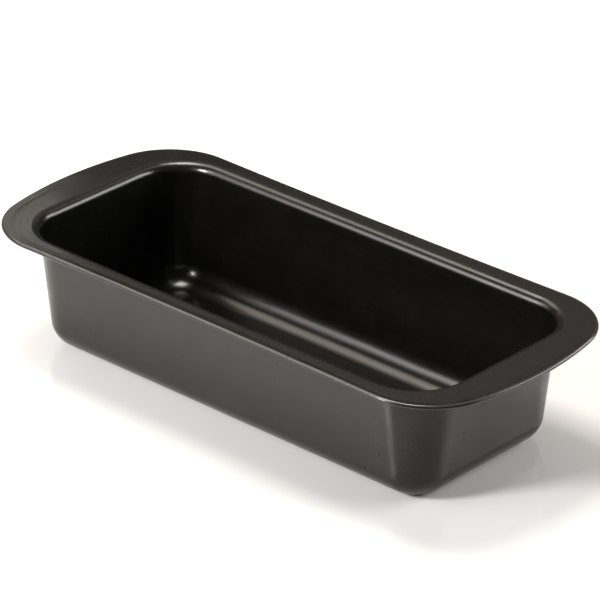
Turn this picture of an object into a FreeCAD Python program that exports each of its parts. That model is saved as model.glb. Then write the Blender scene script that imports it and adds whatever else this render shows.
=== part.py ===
import FreeCAD, Part
import math
import os

# A deep-drawn steel loaf pan with a flat flange and an edge rolled round a wire.
#
# Frame: millimetres, +X along the pan's length, +Y across it, +Z up.
# The origin is the centre of the base's underside, the face that the pan stands on.
#
# The pan is one sheet in three layers: an outer coat, the steel, and the nonstick coat on the food side.
# A depth is measured through that sheet, from the outer face of the outer coat (0) to the food side
# (SHEET). Every layer is what lies between two depths, so the layers fit each other face to face.

# The cup. Lengths are half sizes of the outer wall planes, where they would meet the flange's top plane.
HEIGHT = 68.5
HALF_LENGTH = 140.0
HALF_WIDTH = 61.0
DRAFT = math.radians(7.0)
CORNER_RADIUS_TOP = 28.5
CORNER_RADIUS_BASE = 16.8

# The bends of the sheet, measured on its food side.
BASE_BEND = 13.8
LIP_BEND = 5.2

# The layers, from the outside in.
OUTER_COAT = 0.1
STEEL = 0.5
NONSTICK_COAT = 0.1
SHEET = OUTER_COAT + STEEL + NONSTICK_COAT

# The flange's outline, measured over the rolled edge: two bowed ends, two long sides that curve in
# slightly towards their middle, and an arc at each corner.
FLANGE_HALF_LENGTH = 164.7
FLANGE_HALF_WIDTH = 75.2
END_BOW = 14.6
SIDE_HOLLOW = 2.2
FLANGE_CORNER_RADIUS = 40.0

# The rolled edge: the sheet's end is turned down and round the wire.
ROLL_RADIUS = 1.2
ROLL_START = math.radians(90.0)
ROLL_END = math.radians(-180.0)
WIRE_RADIUS = ROLL_RADIUS - SHEET

# How far the tool solids run past the faces that they cut.
CLEAR = 5.0

UP = FreeCAD.Vector(0, 0, 1)


def point(x, y, z=0.0):
    return FreeCAD.Vector(x, y, z)


def polar(centre, radius, angle):
    """The point on a level circle at an angle from +X."""
    return centre + point(radius * math.cos(angle), radius * math.sin(angle))


def rounded_rectangle(half_length, half_width, radius, z):
    """A closed level wire with four straight sides and four corner arcs."""
    edges = []
    last = point(half_length, radius - half_width, z)
    for quarter, (side_x, side_y) in enumerate(((1, 1), (-1, 1), (-1, -1), (1, -1))):
        centre = point(side_x * (half_length - radius), side_y * (half_width - radius), z)
        angles = [math.radians(90 * quarter + turn) for turn in (0, 45, 90)]
        start, middle, end = [polar(centre, radius, angle) for angle in angles]
        edges.append(Part.LineSegment(last, start).toShape())
        edges.append(Part.Arc(start, middle, end).toShape())
        last = end
    return Part.Wire(edges)


def cup_section(depth, z):
    """The cup's outline at a height, on the surface that lies at a depth in the sheet."""
    inset = (HEIGHT - z) * math.tan(DRAFT) + depth / math.cos(DRAFT)
    radius_here = CORNER_RADIUS_BASE + (CORNER_RADIUS_TOP - CORNER_RADIUS_BASE) * z / HEIGHT
    radius = radius_here - depth / math.cos(DRAFT)
    return rounded_rectangle(HALF_LENGTH - inset, HALF_WIDTH - inset, radius, z)


def flange_arcs(inset):
    """The outline's eight arcs, each as its centre, radius, first angle and last angle.

    The arcs run anticlockwise round the pan from the middle of the right end. A long side's centre lies
    outside the pan, so its arc runs clockwise and its radius grows with the inset.
    """
    end_radius = (FLANGE_HALF_WIDTH ** 2 + END_BOW ** 2) / (2 * END_BOW)
    side_radius = (FLANGE_HALF_LENGTH ** 2 + SIDE_HOLLOW ** 2) / (2 * SIDE_HOLLOW)
    end_x = FLANGE_HALF_LENGTH - end_radius
    side_y = FLANGE_HALF_WIDTH - SIDE_HOLLOW + side_radius

    # The corner arc touches the end arc from inside and the side arc from outside, so its centre is
    # where two circles about their centres cross.
    to_end = end_radius - FLANGE_CORNER_RADIUS
    to_side = side_radius + FLANGE_CORNER_RADIUS
    apart = math.hypot(end_x, side_y)
    along = (to_end ** 2 - to_side ** 2 + apart ** 2) / (2 * apart)
    across = math.sqrt(to_end ** 2 - along ** 2)
    corner_x = end_x - (end_x * along - side_y * across) / apart
    corner_y = (side_y * along + end_x * across) / apart

    end_turn = math.atan2(corner_y, corner_x - end_x)
    side_turn = math.atan2(corner_x, side_y - corner_y)
    quarter = math.pi / 2
    arcs = []
    for half in (0, 1):
        sign = 1 - 2 * half
        base = math.pi * half
        end = (point(sign * end_x, 0), end_radius - inset, base - end_turn, base + end_turn)
        near = (point(sign * corner_x, sign * corner_y), FLANGE_CORNER_RADIUS - inset,
                base + end_turn, base + quarter + side_turn)
        side = (point(0, sign * side_y), side_radius + inset,
                base - quarter + side_turn, base - quarter - side_turn)
        far = (point(-sign * corner_x, sign * corner_y), FLANGE_CORNER_RADIUS - inset,
               base + quarter - side_turn, base + 2 * quarter - end_turn)
        arcs += [end, near, side, far]
    return arcs


def flange_outline(inset, z):
    """The outline as a closed level wire, moved in by an inset."""
    edges = []
    for centre, radius, first, last in flange_arcs(inset):
        angles = (first, (first + last) / 2, last)
        start, middle, end = [polar(centre, radius, angle) + UP * z for angle in angles]
        edges.append(Part.Arc(start, middle, end).toShape())
    return Part.Wire(edges)


def swept_round_rim(profile):
    """Turn a profile round every arc of the line that the edge is rolled about.

    profile takes the line's start point on an arc and the level direction out of the pan, and gives a
    face in the upright plane of the two.
    """
    pieces = []
    for centre, radius, first, last in flange_arcs(ROLL_RADIUS):
        start = polar(centre, radius, first)
        outward = (start - centre).normalize()
        if last < first:
            outward = -outward
        face = profile(start + UP * (HEIGHT - ROLL_RADIUS), outward)
        pieces.append(face.revolve(centre, UP, math.degrees(last - first)))
    return pieces[0].fuse(pieces[1:])


def roll_profile(inner_radius, outer_radius):
    """A profile for one layer of the rolled edge, an open ring between two radii."""
    def profile(centre, outward):
        def at(radius, angle):
            return centre + outward * (radius * math.cos(angle)) + UP * (radius * math.sin(angle))

        middle = (ROLL_START + ROLL_END) / 2
        outer = [at(outer_radius, angle) for angle in (ROLL_START, middle, ROLL_END)]
        inner = [at(inner_radius, angle) for angle in (ROLL_END, middle, ROLL_START)]
        edges = [
            Part.Arc(*outer).toShape(),
            Part.LineSegment(outer[-1], inner[0]).toShape(),
            Part.Arc(*inner).toShape(),
            Part.LineSegment(inner[-1], outer[0]).toShape(),
        ]
        return Part.Face(Part.Wire(edges))
    return profile


def edges_at(solid, z):
    """The edges of a solid that lie wholly at one height."""
    near = 1e-6
    return [edge for edge in solid.Edges
            if abs(edge.BoundBox.ZMin - z) < near and abs(edge.BoundBox.ZMax - z) < near]


def in_mouth(edge):
    """Whether an edge belongs to the cup's mouth and not to the flange's outline."""
    return all(abs(end.X) < HALF_LENGTH and abs(end.Y) < HALF_WIDTH for end in edge.Vertexes)


def space_above(depth, flange_inset, top):
    """The space above the surface at a depth in the sheet, out to an inset of the flange's outline."""
    underside = HEIGHT - SHEET + depth
    cup = Part.makeLoft([cup_section(depth, depth), cup_section(depth, underside)], True, True)
    cup = cup.makeFillet(BASE_BEND + SHEET - depth, edges_at(cup, depth))

    slab = Part.Face(flange_outline(flange_inset, underside)).extrude(UP * (top - underside))
    space = slab.fuse(cup)
    lip = [edge for edge in edges_at(space, underside) if in_mouth(edge)]
    return space.makeFillet(LIP_BEND - SHEET + depth, lip)


def sheet_layer(outer_depth, inner_depth):
    """One layer of the whole sheet, from the base to the end of the rolled edge."""
    outer = space_above(outer_depth, ROLL_RADIUS, HEIGHT + CLEAR)
    inner = space_above(inner_depth, ROLL_RADIUS - CLEAR, HEIGHT + 2 * CLEAR)
    flat = outer.cut(inner)
    roll = swept_round_rim(roll_profile(WIRE_RADIUS + outer_depth, WIRE_RADIUS + inner_depth))
    return flat.fuse(roll).removeSplitter()


def outer_coat():
    return sheet_layer(0.0, OUTER_COAT)


def steel_shell():
    return sheet_layer(OUTER_COAT, OUTER_COAT + STEEL)


def nonstick_coat():
    return sheet_layer(OUTER_COAT + STEEL, SHEET)


def rim_wire():
    """The wire that the edge is rolled round, a closed loop."""
    def profile(centre, outward):
        along = outward.cross(UP)
        return Part.Face(Part.Wire(Part.Circle(centre, along, WIRE_RADIUS).toShape()))
    return swept_round_rim(profile).removeSplitter()


PIECES = {
    "steel_shell": steel_shell,
    "rim_wire": rim_wire,
    "nonstick_coat": nonstick_coat,
    "outer_coat": outer_coat,
}


def main():
    os.makedirs("parts", exist_ok=True)
    for name, make in PIECES.items():
        solids = make().Solids
        assert len(solids) == 1, name + " is not one solid"
        solids[0].exportStep("parts/" + name + ".step")
        print(name, "valid", solids[0].isValid(), "volume", round(solids[0].Volume, 1))


main()
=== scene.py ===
import math
import bmesh
import bpy
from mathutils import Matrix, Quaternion, Vector


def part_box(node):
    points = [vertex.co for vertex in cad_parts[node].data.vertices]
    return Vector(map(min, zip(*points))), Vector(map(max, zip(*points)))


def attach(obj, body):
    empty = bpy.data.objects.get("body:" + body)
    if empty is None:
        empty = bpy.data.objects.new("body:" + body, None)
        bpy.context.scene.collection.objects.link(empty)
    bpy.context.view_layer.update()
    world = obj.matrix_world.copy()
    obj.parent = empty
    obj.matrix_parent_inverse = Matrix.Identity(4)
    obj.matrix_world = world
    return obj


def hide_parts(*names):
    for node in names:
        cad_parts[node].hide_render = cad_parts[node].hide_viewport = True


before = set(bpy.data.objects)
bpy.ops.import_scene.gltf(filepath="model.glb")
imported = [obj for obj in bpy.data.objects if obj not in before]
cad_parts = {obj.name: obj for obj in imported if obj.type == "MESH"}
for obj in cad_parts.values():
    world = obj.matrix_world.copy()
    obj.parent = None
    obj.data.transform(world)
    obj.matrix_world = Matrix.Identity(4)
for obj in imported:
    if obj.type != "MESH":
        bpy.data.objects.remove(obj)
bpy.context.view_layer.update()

# Sizes in metres, in the CAD model's frame: +X along the pan, +Z up, the origin under the base's middle.
# A depth is measured through the sheet, from the outer coat's outer face (0) to the food side (SHEET).
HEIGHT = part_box("nonstick_coat")[1].z
FLANGE_HALF_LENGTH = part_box("nonstick_coat")[1].x
FLANGE_HALF_WIDTH = 0.0752
HALF_LENGTH = 0.140
HALF_WIDTH = 0.061
DRAFT = math.radians(7.0)
CORNER_RADIUS_TOP = 0.0285
CORNER_RADIUS_BASE = 0.0168
BASE_BEND = 0.0138
LIP_BEND = 0.0052
END_BOW = 0.0146
SIDE_HOLLOW = 0.0022
FLANGE_CORNER_RADIUS = 0.040
ROLL_RADIUS = 0.0012
COAT = 0.0001
SHEET = 0.0007
WIRE_RADIUS = ROLL_RADIUS - SHEET
ROLL_START = math.radians(90)
ROLL_END = math.radians(-180)

# The sheet sinks slightly before it rises to the crest of the rolled edge.
GROOVE_DEPTH = 0.00014
GROOVE_RISE = 0.0036
GROOVE_RUN = 0.0026

# The groove's depth by place, as shares of that: all of it along the near side, fading over the left end to
# little on the far side, and more at the right end, where handling has left it slightly wavy. Each fade is
# in x or y, from where its share starts to where it is whole.
FAR_SHARE = 0.15
RIGHT_SHARE = 1.3
WAVE_SHARE = 0.4
WAVE_LENGTH = 0.017
NEAR_FADE_Y = (0.02, -0.04)
RIGHT_FADE_X = (0.13, 0.15)
RIGHT_FADE_Y = (0.06, 0.03)

# How many faces each stretch of the sheet gets, round the pan and from the base to the rolled edge.
END_FACES = 32
CORNER_FACES = 28
SIDE_FACES = 36
BASE_FACES = 8
BASE_BEND_FACES = 20
WALL_FACES = 12
LIP_FACES = 16
FLANGE_FACES = 8
GROOVE_FACES = 16
ROLL_FACES = 30
WIRE_FACES = 16

# The rubbed parts of the food side: a little on the lip, and this turn of the rolled edge.
LIP_WEAR = 0.05
WORN_TURN = math.radians(60)

# Points nearer to each other than this are one point.
WELD_DISTANCE = 0.0000001

UP = Vector((0, 0, 1))

# The signs of x and y at each corner, anticlockwise from the far right one.
SIGNS = ((1, 1), (-1, 1), (-1, -1), (1, -1))


def turned(angle):
    """The level direction at an angle from +X."""
    return Vector((math.cos(angle), math.sin(angle), 0))


def blend(first, last, share):
    return first + (last - first) * share


def shares(count):
    """The starts of so many equal steps from 0 to 1."""
    return [step / count for step in range(count)]


def smooth(share):
    return share * share * (3 - 2 * share)


def ramp(value, start, whole):
    """A smooth rise from 0 where a value starts to 1 where it is whole."""
    return smooth(min(1, max(0, (value - start) / (whole - start))))


def stations():
    """Where the columns of points stand, anticlockwise round the pan from the right end.

    Each is a kind of stretch, which quarter turn it belongs to, and the share of the stretch behind it.
    """
    found = []
    for turn, faces in enumerate((END_FACES, SIDE_FACES, END_FACES, SIDE_FACES)):
        found += [("straight", turn, share) for share in shares(faces)]
        found += [("corner", turn, share) for share in shares(CORNER_FACES)]
    return found


def cup_station(station, z, depth):
    """A point on the cup's wall at a height and a depth, the way out, and the wall's slope there."""
    kind, turn, share = station
    inset = (HEIGHT - z) * math.tan(DRAFT)
    radius = blend(CORNER_RADIUS_BASE, CORNER_RADIUS_TOP, z / HEIGHT)
    half_length = HALF_LENGTH - inset
    half_width = HALF_WIDTH - inset
    reach = radius - depth / math.cos(DRAFT)

    def centre(corner):
        side_x, side_y = SIGNS[corner % 4]
        return Vector((side_x * (half_length - radius), side_y * (half_width - radius), z))

    if kind == "straight":
        outward = turned(turn * math.pi / 2)
        point = blend(centre(turn - 1), centre(turn), share) + outward * reach
        return point, outward, DRAFT
    angle = share * math.pi / 2
    outward = turned(turn * math.pi / 2 + angle)
    rise = HEIGHT * math.tan(DRAFT)
    growth = CORNER_RADIUS_TOP - CORNER_RADIUS_BASE
    slope = math.atan(((rise - growth) * (math.cos(angle) + math.sin(angle)) + growth) / HEIGHT)
    return centre(turn) + outward * reach, outward, slope


def flange_circles():
    """The places and radii of the outline's end and side arcs, and its corner arc's centre in one quarter."""
    end_radius = (FLANGE_HALF_WIDTH ** 2 + END_BOW ** 2) / (2 * END_BOW)
    side_radius = (FLANGE_HALF_LENGTH ** 2 + SIDE_HOLLOW ** 2) / (2 * SIDE_HOLLOW)
    end_x = FLANGE_HALF_LENGTH - end_radius
    side_y = FLANGE_HALF_WIDTH - SIDE_HOLLOW + side_radius
    to_end = end_radius - FLANGE_CORNER_RADIUS
    to_side = side_radius + FLANGE_CORNER_RADIUS
    apart = math.hypot(end_x, side_y)
    along = (to_end ** 2 - to_side ** 2 + apart ** 2) / (2 * apart)
    across = math.sqrt(to_end ** 2 - along ** 2)
    corner = Vector((end_x - (end_x * along - side_y * across) / apart,
                     (side_y * along + end_x * across) / apart, 0))
    return end_x, end_radius, side_y, side_radius, corner


END_X, END_RADIUS, SIDE_Y, SIDE_RADIUS, CORNER = flange_circles()
END_TURN = math.atan2(CORNER.y, CORNER.x - END_X)
SIDE_TURN = math.atan2(CORNER.x, SIDE_Y - CORNER.y)


def roll_station(station):
    """A point on the level line that the edge is rolled about, and the way out of the pan there."""
    kind, turn, share = station
    sign_x, sign_y = SIGNS[turn]
    quarter = math.pi / 2
    if kind == "corner":
        # Odd corners mirror the first one, so they run from the long side to the end.
        if turn % 2:
            share = 1 - share
        angle = blend(END_TURN, quarter + SIDE_TURN, share)
        outward = turned(angle)
        centre = CORNER
        radius = FLANGE_CORNER_RADIUS - ROLL_RADIUS
    elif turn % 2:
        angle = blend(SIDE_TURN, -SIDE_TURN, share)
        outward = Vector((-math.sin(angle), math.cos(angle), 0))
        sign_x = 1 if turn == 1 else -1
        sign_y = sign_x
        centre = Vector((0, SIDE_Y, 0))
        radius = -(SIDE_RADIUS + ROLL_RADIUS)
    else:
        angle = blend(-END_TURN, END_TURN, share)
        outward = turned(angle)
        sign_x = 1 if turn == 0 else -1
        sign_y = sign_x
        centre = Vector((END_X, 0, 0))
        radius = END_RADIUS - ROLL_RADIUS
    point = centre + outward * radius
    point = Vector((point.x * sign_x, point.y * sign_y, HEIGHT - ROLL_RADIUS))
    return point, Vector((outward.x * sign_x, outward.y * sign_y, 0))


def groove_share(place):
    """How deep the groove is at a place on the rim, against its usual depth."""
    near = ramp(place.y, *NEAR_FADE_Y)
    right = ramp(place.x, *RIGHT_FADE_X) * ramp(place.y, *RIGHT_FADE_Y)
    wavy = RIGHT_SHARE + WAVE_SHARE * math.sin(2 * math.pi * place.y / WAVE_LENGTH)
    return blend(blend(FAR_SHARE, 1, near), wavy, right)


def groove_drop(distance):
    """How far the flange lies below its flat level at a distance from the crest of the rolled edge."""
    if distance < GROOVE_RISE:
        return GROOVE_DEPTH * smooth(distance / GROOVE_RISE)
    return GROOVE_DEPTH * smooth(max(0, 1 - (distance - GROOVE_RISE) / GROOVE_RUN))


def sheet_column(station, depth):
    """The points of one surface of the sheet at a station, from the base's middle to the roll's end."""
    column = []
    bend = BASE_BEND + SHEET - depth
    _, outward, slope = cup_station(station, 0, depth)
    low = depth + bend - bend * math.sin(slope)
    wall_foot = cup_station(station, low, depth)[0]
    normal = outward * math.cos(slope) - UP * math.sin(slope)
    bend_centre = wall_foot - normal * bend
    base_edge = bend_centre - UP * bend
    spine = HALF_LENGTH - HALF_WIDTH
    middle = Vector((max(-spine, min(spine, base_edge.x)), 0, depth))
    column += [blend(middle, base_edge, share) for share in shares(BASE_FACES)]

    for share in shares(BASE_BEND_FACES):
        angle = blend(-math.pi / 2, -slope, share)
        column.append(bend_centre + (outward * math.cos(angle) + UP * math.sin(angle)) * bend)

    top = HEIGHT - SHEET + depth
    lip = LIP_BEND - SHEET + depth
    high = top - lip + lip * math.sin(slope)
    column += [cup_station(station, blend(low, high, share), depth)[0] for share in shares(WALL_FACES)]

    lip_centre = cup_station(station, high, depth)[0] + normal * lip
    for share in shares(LIP_FACES):
        angle = blend(slope, math.pi / 2, share)
        column.append(lip_centre + (UP * math.sin(angle) - outward * math.cos(angle)) * lip)

    roll, roll_out = roll_station(station)
    lip_edge = lip_centre + UP * lip
    roll_top = Vector((roll.x, roll.y, top))
    width = (roll_top - lip_edge).length
    groove_edge = blend(roll_top, lip_edge, (GROOVE_RISE + GROOVE_RUN) / width)
    column += [blend(lip_edge, groove_edge, share) for share in shares(FLANGE_FACES)]
    depth_here = groove_share(roll)
    for share in shares(GROOVE_FACES):
        point = blend(groove_edge, roll_top, share)
        column.append(point - UP * groove_drop((roll_top - point).length) * depth_here)

    radius = WIRE_RADIUS + depth
    for step in range(ROLL_FACES + 1):
        angle = blend(ROLL_START, ROLL_END, step / ROLL_FACES)
        column.append(roll + (roll_out * math.cos(angle) + UP * math.sin(angle)) * radius)
    return column


def row_wear():
    """How rubbed each row of a column is: a little on the lip, most on the crest of the rolled edge."""
    wear = [0] * (BASE_FACES + BASE_BEND_FACES + WALL_FACES)
    wear += [LIP_WEAR * math.sin(math.pi * share) for share in shares(LIP_FACES)]
    wear += [0] * (FLANGE_FACES + GROOVE_FACES)
    worn_rows = ROLL_FACES * WORN_TURN / (ROLL_START - ROLL_END)
    for row in range(ROLL_FACES + 1):
        wear.append(math.sin(math.pi * row / worn_rows) if row < worn_rows else 0)
    return wear


def sheet_places(columns):
    """Where each point lies in the sheet: on a circle as long as the rim, and how far along its column.

    Patterns drawn in these coordinates follow the rim and join up after a full turn.
    """
    rim = [roll_station(station)[0] for station in stations()]
    steps = [(rim[(index + 1) % len(rim)] - point).length for index, point in enumerate(rim)]
    loop = sum(steps)
    radius = loop / (2 * math.pi)
    places = []
    travelled = 0
    for column, step in zip(columns, steps):
        angle = 2 * math.pi * travelled / loop
        along = 0
        last = column[0]
        for point in column:
            along += (point - last).length
            last = point
            places.append((radius * math.cos(angle), radius * math.sin(angle), along))
        travelled += step
    return places


def mesh_of_columns(name, columns, closed, wear):
    """A piece whose faces join each column of points to the next, round the pan."""
    rows = len(columns[0])
    points = [point for column in columns for point in column]
    faces = []
    for here in range(len(columns)):
        there = (here + 1) % len(columns)
        for row in range(rows if closed else rows - 1):
            above = (row + 1) % rows
            faces.append((here * rows + row, there * rows + row,
                          there * rows + above, here * rows + above))
    mesh = bpy.data.meshes.new(name)
    mesh.from_pydata([tuple(point) for point in points], [], faces)
    place = mesh.attributes.new("place", "FLOAT_VECTOR", "POINT")
    place.data.foreach_set("vector", [value for spot in sheet_places(columns) for value in spot])
    worn = mesh.attributes.new("wear", "FLOAT", "POINT")
    worn.data.foreach_set("value", wear * len(columns))
    tidy_mesh(mesh)
    piece = bpy.data.objects.new(name, mesh)
    bpy.context.scene.collection.objects.link(piece)
    return piece


def tidy_mesh(mesh):
    """Weld the points that meet along the base's middle, drop what has no area, and face outwards."""
    work = bmesh.new()
    work.from_mesh(mesh)
    bmesh.ops.remove_doubles(work, verts=work.verts, dist=WELD_DISTANCE)
    bmesh.ops.dissolve_degenerate(work, edges=work.edges, dist=WELD_DISTANCE)
    bmesh.ops.recalc_face_normals(work, faces=work.faces)
    for face in work.faces:
        face.smooth = True
    work.to_mesh(mesh)
    work.free()


def sheet_layer(name, outer_depth, inner_depth):
    """One layer of the sheet, closed: its two surfaces and the end of the roll."""
    columns = []
    for station in stations():
        food_side = sheet_column(station, inner_depth)
        outside = sheet_column(station, outer_depth)
        columns.append(food_side + outside[::-1])
    wear = row_wear()
    return mesh_of_columns(name, columns, False, wear + wear[::-1])


def rim_wire():
    """The wire in the rolled edge, a closed loop."""
    columns = []
    for station in stations():
        centre, outward = roll_station(station)
        angles = [2 * math.pi * share for share in shares(WIRE_FACES)]
        columns.append([centre + (outward * math.cos(angle) + UP * math.sin(angle)) * WIRE_RADIUS
                        for angle in angles])
    return mesh_of_columns("rim_wire_loop", columns, True, [0] * WIRE_FACES)


# The patterns of the materials, each as its features to the metre, its finer octaves, and their strength.
# Streaks and lines are drawn in the sheet's own coordinates. Their stretches are features to the metre, the
# first two round the pan and the last along a column.
GRAIN = (1300.0, 2.0, 0.7)
CLOUDS = (55.0, 3.0, 0.45)
SPOTS = (260.0, 2.0, 0.4)
RIPPLES = (420.0, 2.0, 0.4)
WARP = (32.0, 1.0, 0.3)
STREAKS = (1.0, 3.0, 0.5)
STREAK_STRETCH = (30.0, 30.0, 700.0)
STEEL_LINES = (1.0, 4.0, 0.6)
SHEET_STRETCH = (40.0, 40.0, 900.0)
WIRE_STRETCH = (25.0, 25.0, 3000.0)
STEEL_CLOUDS = (55.0, 4.0, 0.6)

# The depths of the relief, in metres.
RIPPLE_DEPTH = 0.000011
WARP_DEPTH = 0.0004
LINE_DEPTH = 0.000005

# How far each pattern moves a coat's or the steel's roughness.
CLOUD_SWING = 0.012
STREAK_SWING = 0.02
SPOT_RISE = 0.02
LINE_SWING = 0.06
STEEL_CLOUD_SWING = 0.05

# The part of a coat's shade that is grain, and the part of its relief that is streaks.
GRAIN_PART = 0.4
STREAK_PART = 0.2

# From which value of its noise to which each pattern comes in. Streaks leave at least this share of the wear.
NOISE_REACH = (0.3, 0.7)
SHADE_REACH = (0.38, 0.62)
SPOT_REACH = (0.66, 0.74)
LINE_REACH = (0.35, 0.65)
RUBBED_REACH = (0.35, 0.65)
RUBBED_LEAST = 0.4

# Grain varies the gloss only at the flange. It comes in between these heights.
HANDLED_RISE = (HEIGHT - 0.0015, HEIGHT - 0.0005)

# A coat's refraction, and what rubbing does to it: its colour, how metallic it gets, and how much smoother.
COAT_IOR = 1.5
WORN_COLOUR = (0.13, 0.127, 0.12)
WORN_METAL = 0.95
WORN_POLISH = 0.16

# Where a mix node keeps its sockets for colours.
FIRST_COLOUR = 6
SECOND_COLOUR = 7
MIXED_COLOUR = 2


def feed(tree, socket, value):
    """Join a socket to another node's output, or set it to a value."""
    if isinstance(value, bpy.types.NodeSocket):
        tree.links.new(value, socket)
    else:
        socket.default_value = value


def add(tree, kind, **inputs):
    """A node with its named inputs fed."""
    node = tree.nodes.new(kind)
    for name, value in inputs.items():
        feed(tree, node.inputs[name.replace("_", " ")], value)
    return node


def noise(tree, place, scale, detail, rough):
    """Smooth noise around 0.5."""
    node = add(tree, "ShaderNodeTexNoise", Vector=place, Scale=scale, Detail=detail, Roughness=rough)
    return node.outputs["Fac"]


def stretched(tree, place, scale):
    return add(tree, "ShaderNodeMapping", Vector=place, Scale=scale).outputs["Vector"]


def attribute(tree, name, output):
    node = tree.nodes.new("ShaderNodeAttribute")
    node.attribute_name = name
    return node.outputs[output]


def remap(tree, value, reach, first=0.0, last=1.0):
    """A value's reach, from low to high, made to run from first to last and held there beyond it."""
    low, high = reach
    node = add(tree, "ShaderNodeMapRange", Value=value, From_Min=low, From_Max=high,
               To_Min=first, To_Max=last)
    return node.outputs["Result"]


def swing(tree, value, amount):
    """Noise made to run from minus an amount to plus it."""
    return remap(tree, value, NOISE_REACH, -amount, amount)


def combine(tree, operation, first, second):
    node = tree.nodes.new("ShaderNodeMath")
    node.operation = operation
    feed(tree, node.inputs[0], first)
    feed(tree, node.inputs[1], second)
    return node.outputs[0]


def times(tree, first, second):
    return combine(tree, "MULTIPLY", first, second)


def total(tree, first, *others):
    for other in others:
        first = combine(tree, "ADD", first, other)
    return first


def weighted(tree, first, second, part):
    """Two values added up, of which the second is a given part."""
    return total(tree, times(tree, first, 1 - part), times(tree, second, part))


def mixed(tree, factor, first, second):
    """A colour between two colours."""
    node = tree.nodes.new("ShaderNodeMix")
    node.data_type = "RGBA"
    tree.links.new(factor, node.inputs["Factor"])
    for socket, value in ((FIRST_COLOUR, first), (SECOND_COLOUR, second)):
        feed(tree, node.inputs[socket], (*value, 1) if isinstance(value, tuple) else value)
    return node.outputs[MIXED_COLOUR]


def bump(tree, height, depth, normal=None):
    """A normal for a height from 0 to 1 over a depth in metres, on top of another relief if given."""
    node = add(tree, "ShaderNodeBump", Height=height, Distance=depth, Strength=1.0)
    if normal:
        tree.links.new(normal, node.inputs["Normal"])
    return node.outputs["Normal"]


def new_material(name):
    """A material, its nodes and shader, and the coordinates in the object and in the sheet."""
    material = bpy.data.materials.new(name)
    material.use_nodes = True
    tree = material.node_tree
    place = tree.nodes.new("ShaderNodeTexCoord").outputs["Object"]
    return material, tree, tree.nodes["Principled BSDF"], place, attribute(tree, "place", "Vector")


def coat_material(name, dark, pale, roughness, gloss, mottle, grain_depth):
    """A baked satin coat, uneven in shade and gloss, mottled on the flange and rubbed on its edges."""
    material, tree, shader, place, sheet_place = new_material(name)
    grain = noise(tree, place, *GRAIN)
    clouds = noise(tree, place, *CLOUDS)
    streaks = noise(tree, stretched(tree, sheet_place, STREAK_STRETCH), *STREAKS)
    spots = remap(tree, noise(tree, place, *SPOTS), SPOT_REACH)
    patches = remap(tree, streaks, RUBBED_REACH, RUBBED_LEAST)
    rubbed = times(tree, attribute(tree, "wear", "Fac"), patches)

    shade = remap(tree, weighted(tree, clouds, grain, GRAIN_PART), SHADE_REACH)
    colour = mixed(tree, rubbed, mixed(tree, shade, dark, pale), WORN_COLOUR)
    tree.links.new(colour, shader.inputs["Base Color"])
    tree.links.new(times(tree, rubbed, WORN_METAL), shader.inputs["Metallic"])

    height = add(tree, "ShaderNodeSeparateXYZ", Vector=place).outputs["Z"]
    handled = remap(tree, height, HANDLED_RISE)
    uneven = total(tree, swing(tree, clouds, CLOUD_SWING), swing(tree, streaks, STREAK_SWING),
                   times(tree, spots, SPOT_RISE), times(tree, swing(tree, grain, mottle), handled),
                   times(tree, rubbed, -WORN_POLISH), roughness)
    tree.links.new(uneven, shader.inputs["Roughness"])

    ripples = weighted(tree, noise(tree, place, *RIPPLES), streaks, STREAK_PART)
    normal = bump(tree, noise(tree, place, *WARP), WARP_DEPTH)
    normal = bump(tree, ripples, RIPPLE_DEPTH, normal)
    tree.links.new(bump(tree, grain, grain_depth, normal), shader.inputs["Normal"])
    shader.inputs["IOR"].default_value = COAT_IOR
    shader.inputs["Specular IOR Level"].default_value = gloss
    return material


def steel_material(name, dark, pale, roughness, stretch):
    """Bare steel with the fine lines that rolling or drawing leaves along it."""
    material, tree, shader, place, sheet_place = new_material(name)
    lines = noise(tree, stretched(tree, sheet_place, stretch), *STEEL_LINES)
    clouds = noise(tree, place, *STEEL_CLOUDS)
    colour = mixed(tree, remap(tree, lines, LINE_REACH), dark, pale)
    uneven = total(tree, swing(tree, lines, LINE_SWING), swing(tree, clouds, STEEL_CLOUD_SWING), roughness)
    tree.links.new(colour, shader.inputs["Base Color"])
    tree.links.new(uneven, shader.inputs["Roughness"])
    tree.links.new(bump(tree, lines, LINE_DEPTH), shader.inputs["Normal"])
    shader.inputs["Metallic"].default_value = 1.0
    return material


def finish_piece(piece, material, node):
    piece.data.materials.append(material)
    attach(piece, "root")
    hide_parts(node)


nonstick = coat_material("nonstick_satin", (0.0018, 0.0017, 0.0015), (0.0021, 0.0020, 0.0018),
                         roughness=0.24, gloss=0.5, mottle=0.09, grain_depth=0.0000005)
outer = coat_material("outer_satin", (0.0092, 0.0080, 0.0068), (0.0122, 0.0107, 0.0092),
                      roughness=0.25, gloss=0.32, mottle=0.03, grain_depth=0.0000006)
bare_steel = steel_material("sheet_steel", (0.34, 0.34, 0.35), (0.50, 0.50, 0.50),
                            roughness=0.35, stretch=SHEET_STRETCH)
wire_steel = steel_material("wire_steel", (0.42, 0.42, 0.42), (0.60, 0.60, 0.59),
                            roughness=0.28, stretch=WIRE_STRETCH)

finish_piece(sheet_layer("nonstick_skin", SHEET - COAT, SHEET), nonstick, "nonstick_coat")
finish_piece(sheet_layer("steel_pressing", COAT, SHEET - COAT), bare_steel, "steel_shell")
finish_piece(sheet_layer("outer_skin", 0.0, COAT), outer, "outer_coat")
finish_piece(rim_wire(), wire_steel, "rim_wire")


# The camera, at a long distance with a long lens. The azimuth is measured from -Y towards +X.
AZIMUTH = math.radians(42.155)
ELEVATION = math.radians(26.859)
ROLL = math.radians(0.412)
DISTANCE = 2.0699
LENS = 242.2
SENSOR_WIDTH = 36.0
AIM = Vector((0.00193, 0.00347, 0.05037))

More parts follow.
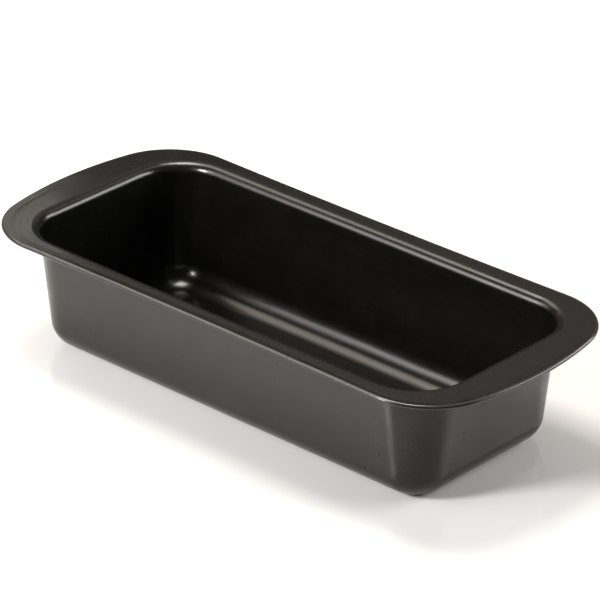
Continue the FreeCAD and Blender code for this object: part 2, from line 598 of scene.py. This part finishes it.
# The floor lies just under the base, so that no two faces share a plane.
FLOOR_HALF_WIDTH = 6.0
FLOOR_GAP = 0.0001
FLOOR_COLOUR = (0.85, 0.85, 0.85, 1)
FLOOR_ROUGHNESS = 0.15
FLOOR_IOR = 1.8

WORLD_COLOUR = (1.0, 0.93, 0.83, 1)
WORLD_STRENGTH = 0.06

WARM = (1.0, 0.94, 0.87)
AMBER = (1.0, 0.88, 0.77)
NEUTRAL = (1.0, 0.985, 0.965)

# Each lamp's name, shape, place, width, height, the radiance of its face, its colour, and whether it faces
# straight down. The others face the pan.
LAMPS = (
    ("top_strip", "RECTANGLE", (-0.73, 0.09, 0.95), 0.56, 0.60, 3.7, AMBER, False),
    ("top_box", "RECTANGLE", (-0.25, 0.10, 0.95), 0.40, 0.36, 17.0, WARM, True),
    ("back_strip", "RECTANGLE", (0.15, 0.65, 0.95), 0.40, 0.90, 1.0, WARM, True),
    ("back_wash", "RECTANGLE", (-0.77, 0.85, 1.01), 1.40, 0.84, 0.35, AMBER, False),
    ("back_card", "RECTANGLE", (-0.366, 0.150, 0.22), 0.07, 0.06, 1.4, WARM, False),
    ("left_wash", "RECTANGLE", (-0.58, -0.70, 0.46), 0.90, 0.60, 1.7, NEUTRAL, False),
    ("left_box", "RECTANGLE", (-0.49, -0.74, 0.46), 0.50, 0.42, 3.9, NEUTRAL, False),
    ("right_box", "RECTANGLE", (0.645, 0.717, 0.43), 0.90, 0.40, 8.4, NEUTRAL, False),
    ("front_spot", "ELLIPSE", (-0.277, -0.814, 0.483), 0.25, 0.25, 66.0, NEUTRAL, False),
)


def make_camera():
    data = bpy.data.cameras.new("camera")
    data.lens = LENS
    data.sensor_width = SENSOR_WIDTH
    camera = bpy.data.objects.new("camera", data)
    level_back = Vector((math.sin(AZIMUTH), -math.cos(AZIMUTH), 0))
    back = level_back * math.cos(ELEVATION) + UP * math.sin(ELEVATION)
    camera.location = AIM + back * DISTANCE
    camera.rotation_mode = "QUATERNION"
    unrolled = (-back).to_track_quat("-Z", "Y")
    camera.rotation_quaternion = Quaternion(-back, -ROLL) @ unrolled
    bpy.context.scene.collection.objects.link(camera)
    bpy.context.scene.camera = camera


def make_floor():
    mesh = bpy.data.meshes.new("floor")
    corners = [(side_x * FLOOR_HALF_WIDTH, side_y * FLOOR_HALF_WIDTH, -FLOOR_GAP) for side_x, side_y in SIGNS]
    mesh.from_pydata(corners, [], [(0, 1, 2, 3)])
    floor = bpy.data.objects.new("floor", mesh)
    material = bpy.data.materials.new("pale_floor")
    material.use_nodes = True
    shader = material.node_tree.nodes["Principled BSDF"]
    shader.inputs["Base Color"].default_value = FLOOR_COLOUR
    shader.inputs["Roughness"].default_value = FLOOR_ROUGHNESS
    shader.inputs["IOR"].default_value = FLOOR_IOR
    mesh.materials.append(material)
    bpy.context.scene.collection.objects.link(floor)


def make_lamp(name, shape, place, width, height, radiance, colour, faces_down):
    """A flat lamp. Its power follows from how bright its face is."""
    data = bpy.data.lights.new(name, "AREA")
    data.shape = shape
    data.size = width
    data.size_y = height
    area = width * height
    if shape == "ELLIPSE":
        area *= math.pi / 4
    data.energy = radiance * math.pi * area
    data.color = colour
    lamp = bpy.data.objects.new(name, data)
    lamp.location = place
    if not faces_down:
        lamp.rotation_mode = "QUATERNION"
        lamp.rotation_quaternion = (Vector(place) - AIM).to_track_quat("Z", "Y")
    bpy.context.scene.collection.objects.link(lamp)


def make_world():
    world = bpy.data.worlds.new("studio")
    world.use_nodes = True
    background = world.node_tree.nodes["Background"]
    background.inputs["Color"].default_value = WORLD_COLOUR
    background.inputs["Strength"].default_value = WORLD_STRENGTH
    bpy.context.scene.world = world


make_camera()
make_floor()
for row in LAMPS:
    make_lamp(*row)
make_world()
bpy.context.scene.view_settings.view_transform = "Standard"
